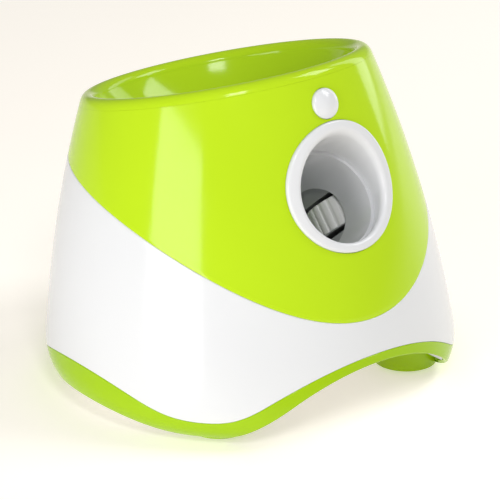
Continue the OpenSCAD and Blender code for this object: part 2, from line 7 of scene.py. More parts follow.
# %% Load the fixed frame
import json
import math
import bpy
import bmesh
import numpy as np
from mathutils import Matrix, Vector


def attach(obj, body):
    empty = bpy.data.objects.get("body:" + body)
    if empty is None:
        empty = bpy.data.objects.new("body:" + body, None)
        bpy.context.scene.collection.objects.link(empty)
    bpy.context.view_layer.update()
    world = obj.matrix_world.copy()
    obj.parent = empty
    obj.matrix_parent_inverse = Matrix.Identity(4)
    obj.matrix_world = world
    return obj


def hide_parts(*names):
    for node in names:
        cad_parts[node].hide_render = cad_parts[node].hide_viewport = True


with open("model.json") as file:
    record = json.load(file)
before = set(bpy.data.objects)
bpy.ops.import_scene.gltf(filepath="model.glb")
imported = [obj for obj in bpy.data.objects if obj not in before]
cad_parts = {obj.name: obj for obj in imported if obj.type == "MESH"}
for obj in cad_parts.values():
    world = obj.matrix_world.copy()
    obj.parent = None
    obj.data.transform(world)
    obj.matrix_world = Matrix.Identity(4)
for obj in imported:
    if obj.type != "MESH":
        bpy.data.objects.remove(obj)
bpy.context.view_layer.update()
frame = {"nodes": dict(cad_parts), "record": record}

# %% [markdown]
# ## The wall of the body
# The body is a leaning, slightly oval cone whose side bows outwards and whose foot is
# rounded. A cage with subdivision could come close to it. Here one arc gives the radius
# at each height and a shear leans it back, because a wall that is a function can be
# followed exactly by every shell, so that their skins meet flush.

# %% The wall as a function of angle and height
BASE_R, RIM_R, RIM_H = 111.4, 74.2, 165.0  # radii of the plain cone, height of the rim
SIDE_BOW, FOOT = 650.0, 20.0  # radii of the bowed side and of the rounded foot
DEPTH = 0.96  # the oval's depth as a share of its width
LEAN, LEAN_BASE = 0.1, 34.6  # slope of the leaning axis, and height where y is 0 on it
TILT = math.radians(15.6)  # of the rim, which falls to the back
WALL, LIP = 2.6, 5.0  # thickness of a shell, radius of the hopper's lip
chord = math.hypot(BASE_R - RIM_R, RIM_H)
back = math.sqrt(SIDE_BOW ** 2 - chord ** 2 / 4)
ARC_X = (BASE_R + RIM_R) / 2 - back * RIM_H / chord
ARC_Z = RIM_H / 2 - back * (BASE_R - RIM_R) / chord
ROUND_X = ARC_X + math.sqrt((SIDE_BOW - FOOT) ** 2 - (FOOT - ARC_Z) ** 2)
ROUND_Z = ARC_Z + SIDE_BOW * (FOOT - ARC_Z) / (SIDE_BOW - FOOT)


def wall_radius(z, inset=0.0):
    """Radius of the wall at height z, drawn in by inset."""
    foot = ROUND_X + np.sqrt(np.maximum((FOOT - inset) ** 2 - (FOOT - z) ** 2, 0))
    side = ARC_X + np.sqrt(np.maximum((SIDE_BOW - inset) ** 2 - (z - ARC_Z) ** 2, 0))
    return np.where(z < ROUND_Z, foot, side)


def on_wall(a, z, inset=0.0):
    """Points of the wall at angle a from the front and height z."""
    r = wall_radius(z, inset)
    y = LEAN * (z - LEAN_BASE) - DEPTH * r * np.cos(a)
    return np.stack([r * np.sin(a), y, z + 0 * a], axis=-1)


print("radius over the foot and at the rim:", wall_radius(np.array([FOOT, RIM_H])))

# %% [markdown]
# ## The edges between the shells
# The lime top ends in a seam that is part of a large circle, and the lime base band
# rises in a low arch on all four sides. The edges could be cut out of a solid with
# curves. Here an edge is a height over a place in plan, and it is found on the wall by
# repeating one step until it settles, so both shells at an edge get the same line.

# %% Heights of the seam, the band and the arches
SEAT_H = RIM_H - LIP / math.cos(TILT)  # where the hopper sits on the upper shell
SEAM_DROP, SEAM_R, SEAM_Y = 47.2, 249.0, 65.0  # its top under the rim, radius, y of its top
SIDE_ARCH_Y = 5.0  # the middle of the arches at the sides
JOINT = 0.1  # the gap between two mouldings


def arc_over(top, r, u):
    return top - r + np.sqrt(np.maximum(r * r - u * u, 0))


def blend(heights, k):
    """The highest of several heights, with a soft change from one to the next."""
    return k * np.log(sum(np.exp(h / k) for h in heights))


def arched(p, front, front_r, other, other_r, low, soft):
    """An edge at a low height that rises to one top at the front and another elsewhere."""
    ahead = p[..., 1] < 0
    end = arc_over(np.where(ahead, front, other), np.where(ahead, front_r, other_r), p[..., 0])
    return blend([low + 0 * end, end, arc_over(other, other_r, p[..., 1] - SIDE_ARCH_Y)], soft)


def seam_edge(p):
    return arc_over(RIM_H - SEAM_DROP, SEAM_R, p[..., 1] - SEAM_Y)


def seat_edge(p):
    return SEAT_H - math.tan(TILT) * p[..., 1]


def band_edge(p):
    return arched(p, front=40.3, front_r=118.0, other=28.5, other_r=117.0, low=14.0, soft=3.0)


def low_edge(p):
    low = arched(p, front=35.8, front_r=95.0, other=11.6, other_r=150.0, low=1.5, soft=2.0)
    return np.maximum(low, WALL + JOINT)


# %% Settle the edges on the wall
STEPS, ROUNDS = 384, 30  # points round the body, rounds until an edge has settled
FIRST_GUESS = {seam_edge: 90.0, seat_edge: 160.0, band_edge: 25.0, low_edge: 10.0}
around = np.arange(STEPS) * 2 * math.pi / STEPS


def settle(edge, a=around, inset=0.0):
    """Heights at which an edge meets the wall, at angles a from the front."""
    z = np.full_like(a, FIRST_GUESS[edge])
    for _ in range(ROUNDS):
        z = edge(on_wall(a, z, inset))
    return z


def both_faces(edge, shift=0.0):
    """Heights of an edge on the outer and on the inner face of the wall."""
    return [settle(edge, inset=inset) + shift for inset in (0.0, WALL)]


seam_z = settle(seam_edge)
print("seam from", seam_z.min().round(1), "to", seam_z.max().round(1), "mm")

# %% [markdown]
# ## From rings of points to a mesh
# Most parts here are rings of points laid one after another. Spin and loft tools could
# join them, but one function does it for round and uneven rings alike. Its result has
# merged doubles, outward faces and smooth shading that breaks only at true edges.

# %% Make a mesh from rings
MM = 0.001
DOUBLES = 1e-7  # points closer than this, in metres, are one
SHARP = 40  # degrees from which an edge is shaded as an edge


def new_piece(name, points, faces, sharp=SHARP):
    """A mesh object from points in millimetres."""
    mesh = bpy.data.meshes.new(name)
    mesh.from_pydata((np.asarray(points, float).reshape(-1, 3) * MM).tolist(), [], faces)
    work = bmesh.new()
    work.from_mesh(mesh)
    bmesh.ops.remove_doubles(work, verts=work.verts, dist=DOUBLES)
    bmesh.ops.recalc_face_normals(work, faces=work.faces)
    work.to_mesh(mesh)
    work.free()
    mesh.shade_smooth()
    mesh.set_sharp_from_angle(angle=math.radians(sharp))
    piece = bpy.data.objects.new(name, mesh)
    bpy.context.scene.collection.objects.link(piece)
    return piece


def ring_faces(count, n, closed=True):
    """Faces that join rings of n points; closed also joins the last ring to the first."""
    faces = []
    for j in range(count if closed else count - 1):
        k = (j + 1) % count
        for i in range(n):
            m = (i + 1) % n
            faces.append((j * n + i, j * n + m, k * n + m, k * n + i))
    return faces


def from_rings(name, rings, closed=True):
    """A mesh object from rings with equal numbers of points."""
    rings = np.asarray(rings, float)
    return new_piece(name, rings, ring_faces(*rings.shape[:2], closed))


def from_profile(profile, place):
    """A ring for each radius and height of a profile, made by a function."""
    return [place(r, h) for r, h in profile]


def cut(piece, *cutters, way="DIFFERENCE"):
    """Takes the cutters out of a piece, or joins them to it, and removes them."""
    for cutter in cutters:
        modifier = piece.modifiers.new("cut", "BOOLEAN")
        modifier.object, modifier.solver, modifier.operation = cutter, "EXACT", way
        result = bpy.data.meshes.new_from_object(
            piece.evaluated_get(bpy.context.evaluated_depsgraph_get()))
        piece.modifiers.remove(modifier)
        piece.data = result
        bpy.data.objects.remove(cutter)
    piece.data.shade_smooth()
    piece.data.set_sharp_from_angle(angle=math.radians(SHARP))
    return piece


# %% [markdown]
# ## The three shells
# Each shell is a band of wall between two edges, 2.6 mm thick, with its visible edges
# eased by a fraction of a millimetre. A Solidify and a Bevel modifier could do that,
# but on these slanting edges exact rings keep the ease even. On a real moulding it
# catches a thin line of light along the seam, which tells the eye that there are two
# parts.

# %% Sweep a shell between two edges
EASE, FOOT_EASE = 0.4, 0.8  # radii of the eased edges
SEAT_GAP = 0.05  # under the hopper's lip
INNER_ROWS, EASE_STEPS = 14, 5  # rings on the inner face, and in an eased edge


def shell(name, low, high, rows, ease_low, ease_high, crowd=1.0):
    """A band of wall between two edges. A crowd over 1 gathers the rows at the low one."""
    (low, low_in), (high, high_in) = low, high
    turn = np.linspace(0, math.pi / 2, EASE_STEPS)
    rings = [on_wall(around, low + ease_low * (1 - math.sin(t)), ease_low * (1 - math.cos(t)))
             for t in turn[::-1]]
    for f in np.linspace(0, 1, rows + 2)[1:-1] ** crowd:
        rings.append(on_wall(around, low + ease_low + (high - low - ease_low - ease_high) * f))
    rings += [on_wall(around, high - ease_high * (1 - math.sin(t)), ease_high * (1 - math.cos(t)))
              for t in turn]
    for f in np.linspace(1, 0, INNER_ROWS) ** crowd:
        rings.append(on_wall(around, low_in + (high_in - low_in) * f, WALL))
    return from_rings(name, rings)


upper = shell("upper_skin", both_faces(seam_edge), both_faces(seat_edge, -SEAT_GAP),
              rows=46, ease_low=EASE, ease_high=0.0)
lower = shell("lower_skin", both_faces(band_edge, JOINT), both_faces(seam_edge, -JOINT),
              rows=40, ease_low=EASE, ease_high=EASE, crowd=1.3)
band = shell("base_skin", both_faces(low_edge), both_faces(band_edge),
             rows=44, ease_low=FOOT_EASE, ease_high=EASE, crowd=1.5)
for made in (upper, lower, band):
    print(made.name, len(made.data.polygons), "faces")

# %% [markdown]
# ## Frames to build in
# The port, the button, the barrel and the rim each have their own tilt. Each could be
# an empty that its pieces are parented to, but a small matrix that turns points drawn
# flat into their place leaves every piece at the origin, as the CAD parts are.

# %% Places of the port, the button and the barrel
PORT_TILT, BARREL_TILT = math.radians(22), math.radians(40)
BUTTON_TILT = PORT_TILT + math.radians(0.5)
PORT_H, BUTTON_H = 123.0, 162.4
PROUD = 1.8  # how far the port ring stands out from the wall
FRONT, REAR = -1, 1


def wall_y(z, end):
    """Where the wall is in the middle plane at height z, at the FRONT or the REAR."""
    return float(LEAN * (z - LEAN_BASE) + end * DEPTH * wall_radius(np.array(float(z))))


def placed(points, centre, x, y, z):
    """Points given along three axes, set at a centre."""
    return np.asarray(points, float) @ np.array([x, y, z]) + np.array(centre)


def facing_front(tilt):
    """Axes of something that faces forward and up by a tilt: right, up, out."""
    c, s = math.cos(tilt), math.sin(tilt)
    return (1, 0, 0), (0, s, c), (0, -c, s)


port_mid = (0, wall_y(PORT_H, FRONT) - PROUD * math.cos(PORT_TILT),
            PORT_H + PROUD * math.sin(PORT_TILT))
port_axes = facing_front(PORT_TILT)
bore_axes = facing_front(BARREL_TILT)
button_mid = (0, wall_y(BUTTON_H, FRONT), BUTTON_H)
button_axes = facing_front(BUTTON_TILT)
print("port", port_mid, "button", button_mid)

# %% Place of the hopper's seat
front_z = float(settle(seat_edge, np.array([0.0]))[0])
rear_z = float(settle(seat_edge, np.array([math.pi]))[0])
front_y, rear_y = wall_y(front_z, FRONT), wall_y(rear_z, REAR)
seat_mid = np.array([0, (front_y + rear_y) / 2, (front_z + rear_z) / 2])
seat_half = math.hypot(rear_y - front_y, rear_z - front_z) / 2
lip_x = float(wall_radius(np.array(seat_mid[2]))) - LIP
oval = (seat_half - LIP) / lip_x  # depth of the lip's crown as a share of its width
seat_axes = ((1, 0, 0), (0, math.cos(TILT), -math.sin(TILT)), (0, math.sin(TILT), math.cos(TILT)))
print("seat", seat_mid, "oval", round(oval, 4))

# %% Round and square cutters
POLE = 1e-6  # a radius so small that its ring is merged to one point
DISC_POINTS = 128


def disc(r, h, n=DISC_POINTS):
    """A ring of points of radius r at height h."""
    t = np.arange(n) * 2 * math.pi / n
    return np.stack([r * np.cos(t), r * np.sin(t), np.full(n, float(h))], axis=-1)


def plug(name, r, low, high, centre, axes, n=DISC_POINTS):
    """A plain round cutter."""
    profile = ((POLE, low), (r, low), (r, high), (POLE, high))
    rings = from_profile(profile, lambda q, h: placed(disc(q, h, n), centre, *axes))
    return from_rings(name, rings, closed=False)


def block(name, low, high):
    """A plain square cutter between two corners."""
    corners = [(x, y, z) for x in (low[0], high[0])
               for y in (low[1], high[1]) for z in (low[2], high[2])]
    faces = [(0, 1, 3, 2), (4, 6, 7, 5), (0, 4, 5, 1), (2, 3, 7, 6), (0, 2, 6, 4), (1, 5, 7, 3)]
    return new_piece(name, corners, faces)


# %% [markdown]
# ## Holes in the shells
# The port and the button each pass through a round hole in the lime shell, and a window
# in the white shell takes the rear panel. The holes could be modelled into the rings,
# but they are true circles seen along their own axes, so a Boolean cut is simpler and
# as exact.

# %% Cut the port, the button and the rear window
PORT_HOLE, BUTTON_HOLE = 33.6, 8.0
PORT_REACH, BUTTON_REACH = 30, 10  # of each cutter, to either side of the wall
BUTTON_POINTS = 64
PANEL_X, PANEL_LOW, PANEL_HIGH = 32.2, 83.8, 108.2
PANEL_FROM, PANEL_TO = 60, 120  # depths between which the window's cutter runs
cut(upper, plug("port_hole", PORT_HOLE, -PORT_REACH, PORT_REACH, port_mid, port_axes),
    plug("button_hole", BUTTON_HOLE, -BUTTON_REACH, BUTTON_REACH, button_mid, button_axes,
         BUTTON_POINTS))
cut(lower, block("rear_window", (-PANEL_X, PANEL_FROM, PANEL_LOW), (PANEL_X, PANEL_TO, PANEL_HIGH)))
print("after the cuts:", len(upper.data.polygons), len(lower.data.polygons))

# %% [markdown]
# ## Curves for the lip and the corners
# A moulded part has no knife edges, so two small functions make its curves. A cubic
# Bezier curve leaves and arrives in given directions, which a fillet between two
# reflections needs, and a quadratic one is enough to round a corner.

# %% Two kinds of curve
def bezier(p0, p1, p2, p3, steps):
    for t in np.linspace(0, 1, steps):
        yield (1 - t) ** 3 * p0 + 3 * t * (1 - t) ** 2 * p1 + 3 * t * t * (1 - t) * p2 + t ** 3 * p3


def corner_arc(start, corner, end, steps):
    return [(1 - t) ** 2 * start + 2 * t * (1 - t) * corner + t * t * end
            for t in np.linspace(0, 1, steps)]


def rounded(corners, radii, steps):
    """A polyline whose inner corners are turned into arcs."""
    line = [np.array(corners[0], float)]
    for k in range(1, len(corners) - 1):
        a, b, c = (np.array(corners[k + d], float) for d in (-1, 0, 1))
        u, v = (a - b) / np.linalg.norm(a - b), (c - b) / np.linalg.norm(c - b)
        half = math.acos(max(-1, min(1, float(u @ v)))) / 2
        reach = radii[k - 1] / math.tan(half)
        line += corner_arc(b + u * reach, b, b + v * reach, steps)
    line.append(np.array(corners[-1], float))
    return line


square = rounded([(0, 0), (9, 0), (9, 9)], radii=[2], steps=9)
print("a rounded square corner:", len(square), "points")

# %% [markdown]
# ## The hopper and its rounded lip
# The hopper drops into the top of the shell, and its lip rolls from the outer wall over
# to the inner one. A bevelled edge would show a kink, so two Bezier curves make the
# roll, and the first starts along the slope of the wall: a reflection runs over the
# joint unbroken. Below the lip the wall leans in to a sloping floor, and the floor
# opens into a round spout.

# %% Rings in the plane of the seat
rim = on_wall(around, settle(seat_edge))
up_wall = rim - on_wall(around, settle(seat_edge) - 1)
up_wall /= np.linalg.norm(up_wall, axis=1, keepdims=True)
seat_up = np.array(seat_axes[2])
local = (rim - seat_mid) @ np.array(seat_axes).T
flat_r = np.hypot(local[:, 0], local[:, 1] / oval)
flat_a = np.arctan2(local[:, 1] / oval, local[:, 0])
OVAL_FROM, OVAL_OVER = 30, 20  # radius where the bowl is still round, and the change to oval


def seat_ring(r, squeeze, h):
    """A ring of radius r along x, squeezed in depth and raised by h."""
    flat = [r * np.cos(flat_a), r * squeeze * np.sin(flat_a), np.full(STEPS, float(h))]
    return placed(np.stack(flat, axis=-1), seat_mid, *seat_axes)


def bowl_ring(r, h):
    """A ring of the bowl, oval at its wall and round at its spout."""
    share = min(1, max(0, (r - OVAL_FROM) / OVAL_OVER))
    return seat_ring(r, 1 + (oval - 1) * share, h)


def inward(distance, h):
    """The rim drawn in by a distance in the plane of the seat, and raised by h."""
    return seat_ring(flat_r - distance, oval, h)


print("rim:", flat_r.min().round(2), "to", flat_r.max().round(2), "mm")

# %% Roll the lip and sink the bowl
ARC_PULL = 0.5523  # handle length for which a Bezier curve is a quarter of a circle
LIP_STEPS = 12  # rings in each half of the roll, and in each corner of the bowl
BOWL_R, BOWL_DEEP, BOWL_BEND = 56, -20, 16  # corner between wall and floor
SPOUT_R, SPOUT_TOP, SPOUT_END, SPOUT_BEND = 28, -35, -37.2, 1.5
SPOUT_OUT, BOWL_OUT, BOWL_UNDER = 32, 57, -22.4  # the outside of the spout and the floor
LIP_UNDER = [(7, -1.5), (3, -0.02)]  # distance from the rim and height, back out to it
crown, inner = inward(LIP, LIP), inward(2 * LIP, 0)
roll = ARC_PULL * LIP
outwards = inward(LIP - 1, LIP) - crown
rings = list(bezier(rim, rim + up_wall * roll, crown + outwards * roll, crown, LIP_STEPS))
rings += list(bezier(crown, crown - outwards * roll, inner + seat_up * roll, inner, LIP_STEPS))[1:]
bowl = rounded([(flat_r.mean() - 2 * LIP, 0), (BOWL_R, BOWL_DEEP), (SPOUT_R, SPOUT_TOP),
                (SPOUT_R, SPOUT_END)], [BOWL_BEND, SPOUT_BEND], LIP_STEPS)
rings += from_profile(bowl[1:], bowl_ring)
rings += [seat_ring(SPOUT_OUT, 1, SPOUT_END), bowl_ring(BOWL_OUT, BOWL_UNDER)]
rings += from_profile(LIP_UNDER, inward)
hopper = from_rings("hopper_skin", rings)
print("hopper:", len(rings), "rings")

# %% [markdown]
# ## The port ring
# The white ring follows the curve of the body, 1.8 mm proud, with a soft outer edge and
# a wide roundover into the bore. The bore widens a little on its way in, so that the
# lip of the barrel behind it shows as a narrow step. A Shrinkwrap modifier could lay
# the ring on the body, but it needs a target mesh. Here each point is dropped along an
# axis until it meets the raised wall, by a few steps of a secant search.

# %% Drop points onto the raised wall
SEARCH, FLAT = 12, 1e-12  # steps of the search, and a change that is as good as none


def wall_depth(points, raised):
    """Roughly how far points lie outside the wall raised by a height."""
    z = points[..., 2]
    y = (points[..., 1] - LEAN * (z - LEAN_BASE)) / DEPTH
    return np.hypot(points[..., 0], y) - wall_radius(z, -raised)


def drop(points, direction, raised=PROUD):
    """Moves points along a direction until they lie on the raised wall."""
    d = np.array(direction, float)
    t0, t1 = np.zeros(len(points)), np.full(len(points), 1.0)
    f0 = wall_depth(points, raised)
    for _ in range(SEARCH):
        f1 = wall_depth(points + t1[:, None] * d, raised)
        change = np.where(f1 == f0, 1, f1 - f0)
        step = np.where(np.abs(f1 - f0) > FLAT, f1 * (t1 - t0) / change, 0)
        t0, f0, t1 = t1, f1, t1 - step
    return points + t1[:, None] * d


# %% Lay the ring on the wall
MOUTH, FLANGE, TURNS = 25.8, 33.4, 192  # radii of the bore and the ring, points round it
FLANGE_EASE, FLANGE_SINK = 1.4, 9.0  # outer edge, and how far the ring's side runs in
MOUTH_EASE, MOUTH_SINK = 3.2, 4.5  # width and depth of the roundover
BORE_END, BORE_WIDER, BORE_BACK = -19.9, 1.6, 2.2  # inner end, its edges past the mouth's radius
out_port, out_bore = np.array(port_axes[2]), np.array(bore_axes[2])


def port_disc(r, h, axes):
    return placed(disc(r, h, TURNS), port_mid, *axes)


edge_out = drop(port_disc(FLANGE - FLANGE_EASE, 0, port_axes), out_port)
flank = port_disc(FLANGE, 0, port_axes)
corner = drop(flank, out_port)
edge_in = corner - out_port * FLANGE_EASE
mouth = drop(port_disc(MOUTH, 0, bore_axes), out_bore)
wide = drop(port_disc(MOUTH + MOUTH_EASE, 0, bore_axes), out_bore)
deep = mouth - out_bore * MOUTH_SINK
low_bore = port_disc(MOUTH + BORE_WIDER, BORE_END, bore_axes)
between = np.linspace(0, 1, 8)[1:]
rings = [flank - out_port * FLANGE_SINK] + corner_arc(edge_in, corner, edge_out, steps=7)
rings += [drop(edge_out * (1 - t) + wide * t, out_port) for t in between]
rings += corner_arc(wide, mouth, deep, steps=12)[1:]
rings += [deep * (1 - t) + low_bore * t for t in between]
rings.append(port_disc(MOUTH + BORE_BACK, BORE_END, bore_axes))
ring = from_rings("port_skin", rings)
print("port ring:", len(rings), "rings")

# %% [markdown]
# ## The push button
# A dome in a short skirt. It is a separate moulding that moves 1 mm, so it rides on its
# own body. A squashed sphere would have no skirt, so the button is turned as one
# profile: a part of a sphere of 14 mm radius over an eased edge.

# %% Turn the button
DOME, DOME_MID, DOME_EDGE = 14.0, -10.5, 7.1  # radius, centre, and where the dome ends
SKIRT, SKIRT_LOW = 7.8, -2.2
profile = [(POLE, SKIRT_LOW), (SKIRT, SKIRT_LOW)]
profile += [(SKIRT, z) for z in np.linspace(-2.0, 0.55, 5)] + [(7.72, 0.95), (7.5, 1.25)]
profile += [(r, DOME_MID + math.sqrt(DOME ** 2 - r * r)) for r in np.linspace(DOME_EDGE, POLE, 22)]
rings = from_profile(profile, lambda r, h: placed(disc(r, h), button_mid, *button_axes))
button = from_rings("button_skin", rings, closed=False)
print("button:", len(button.data.polygons), "faces")

# %% [markdown]
# ## The power rocker
# A rocker switch shows two faces that meet in a shallow V, so that the eye can tell
# which end is pressed. It could be cut from a block, but its outline is the same all
# along the pivot. So the outline is swept, with eased ends and a short pin at each side.

# %% Sweep the rocker along its pivot
ROCKER_X, ROCKER_SINK = -14, 7  # place across the rear panel, and depth under the wall
PIN, PIN_END, EASED = 0.95, 4.8, 0.93  # radius and end of the pin, share at the eased ends
ROCKER_END, ROCKER_FLAT = 3.6, 3.3  # half length, and half length before the ease
panel_mid = (PANEL_LOW + PANEL_HIGH) / 2
outline = np.array(rounded(
    [(-4.6, 0.5), (-4.6, 4.2), (0, 2.9), (4.6, 4.2), (4.6, 0.5), (2.8, -2.2), (-2.8, -2.2),
     (-4.55, 0.4)], radii=[0.5, 2.0, 0.5, 1.0, 1.0, 1.0], steps=7))
pin = PIN * outline / np.linalg.norm(outline, axis=1, keepdims=True)
half = [(outline, ROCKER_FLAT), (outline * EASED, ROCKER_END), (pin, ROCKER_END),
        (pin, PIN_END), (pin * POLE, PIN_END)]
rings = []
for flat, z in [(flat, -z) for flat, z in half[::-1]] + half:
    across = flat[:, 0] + ROCKER_X
    depth = flat[:, 1] + wall_y(panel_mid, REAR) - ROCKER_SINK
    rings.append(np.column_stack([across, depth, np.full(len(flat), panel_mid + z)]))
rocker = from_rings("rocker_skin", rings, closed=False)
print("rocker:", len(rocker.data.polygons), "faces")

# %% [markdown]
# ## Colours and helpers for nodes
# A colour is written as an sRGB hex value, but Blender mixes light in linear
# values, so one function turns it. A second one adds a node, sets it and links it, and
# a third starts an empty material whose patterns read the place on the object.

# %% Turn a colour linear, add a node, start a material
def linear(code):
    parts = [int(code[i:i + 2], 16) / 255 for i in (1, 3, 5)]
    low = [c / 12.92 if c <= 0.04045 else ((c + 0.055) / 1.055) ** 2.4 for c in parts]
    return tuple(low) + (1.0,)


def put(tree, kind, sockets=None, **settings):
    made = tree.nodes.new(kind)
    for name, value in settings.items():
        setattr(made, name, value)
    for key, value in (sockets or {}).items():
        if isinstance(value, bpy.types.NodeSocket):
            tree.links.new(value, made.inputs[key])
        else:
            made.inputs[key].default_value = value
    return made


def bare_material(name):
    """A material with no nodes, and its tree."""
    material = bpy.data.materials.new(name)
    material.use_nodes = True
    material.node_tree.nodes.clear()
    return material, material.node_tree


def per_mm(size):
    """Scale of a noise whose features are this many millimetres across."""
    return 1000.0 / size


print("white in linear values:", linear("#FFFFFF"))

# %% [markdown]
# ## Moulded plastic
# Nearly every part is injection-moulded ABS. Polished tooling leaves it glossy, with a
# very shallow orange peel about 3 mm across, a slight drift of colour over the palm of
# a hand, and faint rubbed patches where it is handled. Textured tooling gives a matt
# part with grains of about half a millimetre. An image of scratches could do it, but
# noise has no seams and no edges. One function makes every finish. The glossy shells
# have a lowered specular level, because the photograph shows weaker reflections than
# bare ABS would give.

# %% Build a moulded plastic
DRIFT_MM, SMEAR_MM = 70, 14  # size of the colour's drift and of the rubbed patches
ABS_IOR = 1.53


def moulded(name, colour, drift, rough, rub, grain_mm, grain_depth, shine=0.5):
    """A plastic or rubber. rub is added to its roughness where it is worn."""
    material, tree = bare_material(name)
    where = put(tree, "ShaderNodeTexCoord").outputs["Object"]
    patch = put(tree, "ShaderNodeTexNoise", {
        "Vector": where, "Scale": per_mm(DRIFT_MM), "Detail": 1.0})
    tint = put(tree, "ShaderNodeMix", {
        0: patch.outputs["Fac"], 6: linear(colour), 7: linear(drift)}, data_type="RGBA")
    smear = put(tree, "ShaderNodeTexNoise", {
        "Vector": where, "Scale": per_mm(SMEAR_MM), "Detail": 4.0, "Distortion": 0.6})
    worn = put(tree, "ShaderNodeMapRange", {
        "Value": smear.outputs["Fac"], "From Min": 0.35, "From Max": 0.7,
        "To Min": rough, "To Max": rough + rub})
    grain = put(tree, "ShaderNodeTexNoise", {
        "Vector": where, "Scale": per_mm(grain_mm), "Detail": 2.0})
    bump = put(tree, "ShaderNodeBump", {
        "Height": grain.outputs["Fac"], "Strength": 1.0, "Distance": grain_depth * MM})
    body = put(tree, "ShaderNodeBsdfPrincipled", {
        "Base Color": tint.outputs[2], "Roughness": worn.outputs["Result"],
        "Normal": bump.outputs["Normal"], "IOR": ABS_IOR, "Specular IOR Level": shine})
    put(tree, "ShaderNodeOutputMaterial", {"Surface": body.outputs["BSDF"]})
    return material


# %% Mix the plastics
# Glossy shells: clear, even colour with long sharp streaks of light.
LIME = moulded("polished_lime_abs", "#B8DA1E", "#B2D41A", rough=0.10, rub=0.05,
               grain_mm=3.0, grain_depth=0.004, shine=0.24)
# The base band is moulded in the same lime as the shells. This darker copy is painted shade, for
# the shade that falls on the band low down by the floor.
SHADED_BAND_LIME = moulded("polished_lime_abs_painted_shade", "#9EC406", "#98BE06", rough=0.14, rub=0.05,
                    grain_mm=3.0, grain_depth=0.004, shine=0.24)
WHITE = moulded("polished_white_abs", "#DEDFE1", "#D9DADC", rough=0.14, rub=0.05,
                grain_mm=3.0, grain_depth=0.004, shine=0.3)
# Inner and rear parts: a fine grain that spreads the light into a soft sheen.
GREY = moulded("satin_grey_abs", "#B9BBBC", "#B1B3B4", rough=0.34, rub=0.08,
               grain_mm=0.7, grain_depth=0.02)
BLACK = moulded("textured_black_abs", "#1E1F20", "#26272A", rough=0.46, rub=0.10,
                grain_mm=0.5, grain_depth=0.03)
# Pads and treads: matt, so that light spreads over them with hardly a highlight.
RUBBER = moulded("moulded_black_rubber", "#1A1A1A", "#242424", rough=0.75, rub=0.12,
                 grain_mm=0.6, grain_depth=0.05)
TREAD = moulded("white_tpe_tread", "#F8F8F6", "#F2F2F0", rough=0.42, rub=0.10,
                grain_mm=0.8, grain_depth=0.02)
# The sleeve shrunk round a cell: thin and smooth, with a slight ripple.
FILM = moulded("green_cell_film", "#2E5F38", "#35683F", rough=0.28, rub=0.06,
               grain_mm=2.0, grain_depth=0.005)
plastics = (LIME, SHADED_BAND_LIME, WHITE, GREY, BLACK, RUBBER, TREAD, FILM)
print("plastics:", [material.name for material in plastics])

# %% [markdown]
# ## Metal and circuit board
# Motor cans and shafts are drawn and turned steel, whose fine lines stretch one way, so
# the noise is squeezed along one axis. The board is green solder mask over a weave of
# glass about 0.6 mm apart, drawn at 1.5 mm so that it shows.

# %% Build a drawn metal and a board
LINE_DEPTH, WEAVE_DEPTH = 0.006, 0.02
WEAVE_MM = 1.5
SMOOTHER, ROUGHER = 0.08, 0.12  # how far the lines take a metal's roughness down and up


def drawn_metal(name, colour, rough, line_mm, stretch):
    material, tree = bare_material(name)
    where = put(tree, "ShaderNodeTexCoord").outputs["Object"]
    along = put(tree, "ShaderNodeMapping", {"Vector": where, "Scale": stretch})
    lines = put(tree, "ShaderNodeTexNoise", {
        "Vector": along.outputs["Vector"], "Scale": per_mm(line_mm), "Detail": 3.0})
    spread = put(tree, "ShaderNodeMapRange", {
        "Value": lines.outputs["Fac"], "To Min": rough - SMOOTHER, "To Max": rough + ROUGHER})
    bump = put(tree, "ShaderNodeBump", {
        "Height": lines.outputs["Fac"], "Strength": 1.0, "Distance": LINE_DEPTH * MM})
    body = put(tree, "ShaderNodeBsdfPrincipled", {
        "Base Color": linear(colour), "Metallic": 1.0, "Roughness": spread.outputs["Result"],
        "Normal": bump.outputs["Normal"]})
    put(tree, "ShaderNodeOutputMaterial", {"Surface": body.outputs["BSDF"]})
    return material


def glass_board(name):
    material, tree = bare_material(name)
    where = put(tree, "ShaderNodeTexCoord").outputs["Object"]
    weave = put(tree, "ShaderNodeTexChecker", {
        "Vector": where, "Scale": per_mm(WEAVE_MM),
        "Color1": linear("#1B5E3A"), "Color2": linear("#22683F")})
    bump = put(tree, "ShaderNodeBump", {
        "Height": weave.outputs["Fac"], "Strength": 0.3, "Distance": WEAVE_DEPTH * MM})
    body = put(tree, "ShaderNodeBsdfPrincipled", {
        "Base Color": weave.outputs["Color"], "Roughness": 0.3, "Normal": bump.outputs["Normal"]})
    put(tree, "ShaderNodeOutputMaterial", {"Surface": body.outputs["BSDF"]})
    return material


STEEL = drawn_metal("drawn_steel", "#B7B8BA", rough=0.30, line_mm=0.5, stretch=(1.0, 0.15, 0.15))
PLATE = drawn_metal("nickel_plated_spring_steel", "#C9C6BC", rough=0.22, line_mm=0.6,
                    stretch=(0.2, 1.0, 1.0))
BRASS = drawn_metal("turned_brass", "#C9A859", rough=0.25, line_mm=0.4, stretch=(1.0, 0.2, 1.0))
BOARD = glass_board("green_solder_mask")
print("metals and board:", [material.name for material in (STEEL, PLATE, BRASS, BOARD)])

# %% [markdown]
# ## Ribbed treads
# A launch wheel throws with a soft tread. Its ribs repeat all the way round, so
# Geometry Nodes set one rib on each point of a circle. An Array with an empty could do
# it too, but the tree has named inputs for the count and the sizes. It ends in Realize
# Instances and Set Material, because the export drops instances.

# %% A tree that sets ribs round a wheel
RIB_SIDES = 20
INPUTS = {"Radius": "NodeSocketFloat", "Width": "NodeSocketFloat", "Rib": "NodeSocketFloat",
          "Height": "NodeSocketFloat", "Count": "NodeSocketInt"}


